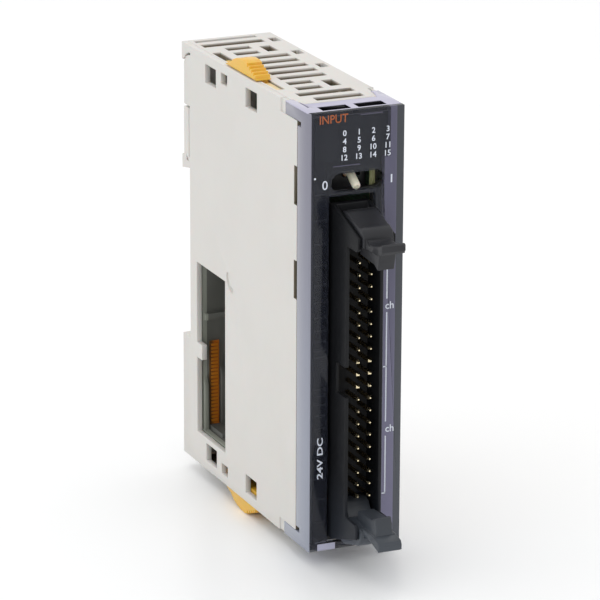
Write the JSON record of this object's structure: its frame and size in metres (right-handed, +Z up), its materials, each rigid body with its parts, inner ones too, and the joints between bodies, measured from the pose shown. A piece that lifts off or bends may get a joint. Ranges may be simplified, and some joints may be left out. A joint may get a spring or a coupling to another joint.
{
  "type": "programmable controller input module",
  "caption": "Narrow rail-mounted input module: box header with two swinging latches, indicator window, selector switch, two sliding locks, side bus window and rail catch",
  "frame": {"origin": "middle of the rail seat: on the floor of the rear recess, at half the module's width and at the height of the rail's centre line", "axes": "+Z up with the module upright on its rail, -Y out of the front face towards the user, +X to the right as seen from the front, along the rail"},
  "size_m": [0.0244, 0.0839, 0.0962],
  "materials": {
    "housing_plastic": "fine spark-eroded grain",
    "smoked_plastic": "polished, see-through",
    "panel_plastic": "smooth",
    "label_film": "printed film",
    "led_body": "clear resin",
    "circuit_board": "solder mask",
    "ivory_plastic": "smooth",
    "connector_plastic": "fine grain",
    "contact_gold": "gold plated",
    "slider_plastic": "slightly translucent",
    "bus_plastic": "smooth",
    "chip_body": "moulded resin",
    "capacitor_body": "can"
  },
  "bodies": {
    "module": {"main_housing": "housing_plastic", "side_cover": "housing_plastic", "front_cover": "smoked_plastic", "front_panel": "panel_plastic", "indicator_label": "label_film", "light_guide": "panel_plastic", "indicator_leds": "led_body", "indicator_board": "circuit_board", "main_board": "circuit_board", "selector_body": "panel_plastic", "connector_shell": "connector_plastic", "connector_pins": "contact_gold", "bus_socket_body": "bus_plastic", "bus_socket_strips": "slider_plastic", "bus_socket_contacts": "contact_gold", "bus_plug_body": "bus_plastic", "bus_plug_contacts": "contact_gold", "photocouplers": "chip_body", "bus_interface_chip": "chip_body", "resistor_arrays": "chip_body", "filter_capacitors": "capacitor_body"},
    "upper_latch": {"upper_latch": "connector_plastic"},
    "lower_latch": {"lower_latch": "connector_plastic"},
    "top_slider": {"top_slider": "slider_plastic"},
    "bottom_slider": {"bottom_slider": "slider_plastic"},
    "selector_knob": {"selector_knob": "ivory_plastic"},
    "rail_catch": {"rail_catch": "bus_plastic"}
  },
  "joints": [
    {"name": "upper_latch_pivot", "type": "hinge", "parent": "module", "child": "upper_latch", "pos_m": [-0.00105, -0.06495, 0.0232], "axis": [-1, 0, 0], "range_deg": [0, 40]},
    {"name": "lower_latch_pivot", "type": "hinge", "parent": "module", "child": "lower_latch", "pos_m": [-0.00105, -0.06495, -0.03944], "axis": [1, 0, 0], "range_deg": [0, 40]},
    {"name": "top_slider_slide", "type": "slide", "parent": "module", "child": "top_slider", "axis": [0, 1, 0], "range_m": [0, 0.0054]},
    {"name": "bottom_slider_slide", "type": "slide", "parent": "module", "child": "bottom_slider", "axis": [0, 1, 0], "range_m": [0, 0.0054]},
    {"name": "selector_slide", "type": "slide", "parent": "module", "child": "selector_knob", "axis": [1, 0, 0], "range_m": [0, 0.002]},
    {"name": "rail_catch_slide", "type": "slide", "parent": "module", "child": "rail_catch", "axis": [0, 0, -1], "range_m": [0, 0.003]}
  ]
}
